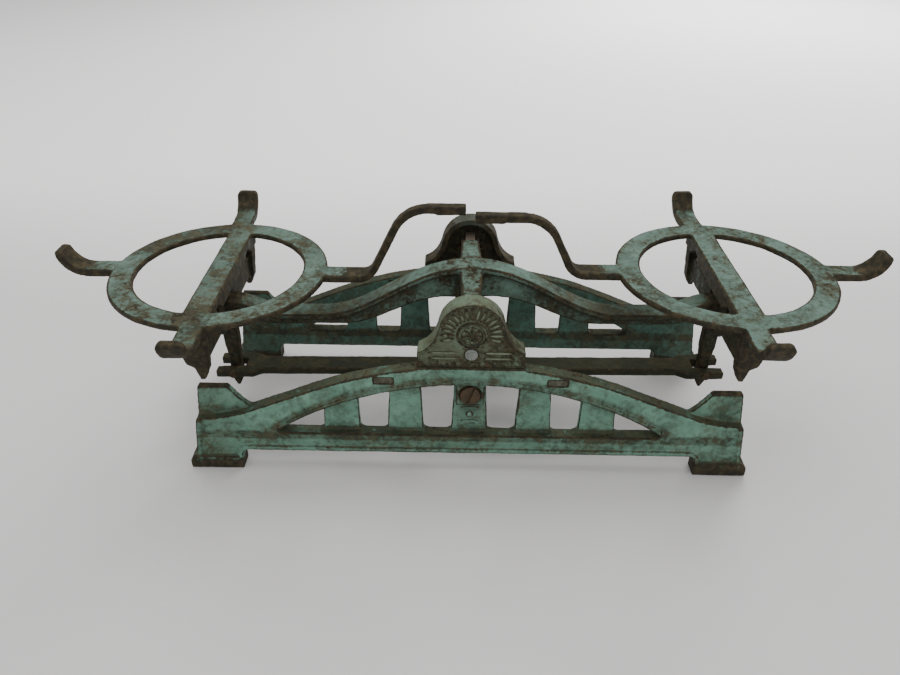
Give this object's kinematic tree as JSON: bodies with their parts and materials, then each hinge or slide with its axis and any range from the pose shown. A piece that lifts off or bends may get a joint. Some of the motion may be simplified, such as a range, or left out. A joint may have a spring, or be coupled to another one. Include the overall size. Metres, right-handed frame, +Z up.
{
  "type": "counter balance",
  "caption": "Old equal-arm counter balance with open cast-iron side frames, rocking beam, pan carriers with gooseneck pointers and a lower stay; pans lifted off.",
  "frame": {"origin": "on the resting plane, midway between the four feet, under the middle knife line", "axes": "+X to the right along the beam, +Y to the rear, +Z up"},
  "size_m": [0.4902, 0.1915, 0.1459],
  "materials": {
    "frame_paint": "old teal paint on cast iron, worn to rust",
    "housing_paint": "olive green and brown, worn",
    "beam_paint": "pale grey-green paint, worn",
    "carrier_paint": "pale blue-grey-green paint, worn",
    "dark_iron": "dark brown, rough",
    "rusty_steel": "rusted",
    "worn_steel": "dull, lightly rusted",
    "soft_metal": "dull grey soft metal"
  },
  "bodies": {
    "frame": {"front_side_frame": "frame_paint", "rear_side_frame": "frame_paint", "front_bearing_housing": "housing_paint", "rear_bearing_housing": "housing_paint", "front_pivot_bearing": "worn_steel", "rear_pivot_bearing": "worn_steel", "centre_tie": "frame_paint", "tie_screws": "rusty_steel", "tie_dowels": "worn_steel", "frame_insets": "soft_metal", "housing_seal_plug": "soft_metal", "stay_pivot_pin": "rusty_steel"},
    "beam": {"beam": "beam_paint", "front_centre_knife": "worn_steel", "rear_centre_knife": "worn_steel", "left_front_knife": "worn_steel", "left_rear_knife": "worn_steel", "right_front_knife": "worn_steel", "right_rear_knife": "worn_steel"},
    "left_carrier": {"left_pan_carrier": "carrier_paint", "left_front_bearing": "worn_steel", "left_rear_bearing": "worn_steel"},
    "right_carrier": {"right_pan_carrier": "carrier_paint", "right_front_bearing": "worn_steel", "right_rear_bearing": "worn_steel"},
    "stay": {"stay": "dark_iron", "left_stem_pin": "rusty_steel", "right_stem_pin": "rusty_steel"}
  },
  "joints": [
    {"name": "beam_rock", "type": "hinge", "parent": "frame", "child": "beam", "pos_m": [0, 0, 0.097], "axis": [0, 1, 0], "range_deg": [-2.7, 4.3]},
    {"name": "left_carrier_swing", "type": "hinge", "parent": "beam", "child": "left_carrier", "pos_m": [-0.14999, 0, 0.09491], "axis": [0, 1, 0], "range_deg": [-4.3, 2.7]},
    {"name": "right_carrier_swing", "type": "hinge", "parent": "beam", "child": "right_carrier", "pos_m": [0.14999, 0, 0.09909], "axis": [0, 1, 0], "range_deg": [-4.3, 2.7]},
    {"name": "stay_rock", "type": "hinge", "parent": "frame", "child": "stay", "pos_m": [0, 0, 0.0345], "axis": [0, 1, 0], "range_deg": [-2.7, 4.3]}
  ],
  "couplings": [
    {"joint": "left_carrier_swing", "follows": "beam_rock", "ratio": -1},
    {"joint": "right_carrier_swing", "follows": "beam_rock", "ratio": -1},
    {"joint": "stay_rock", "follows": "beam_rock", "ratio": 1}
  ]
}
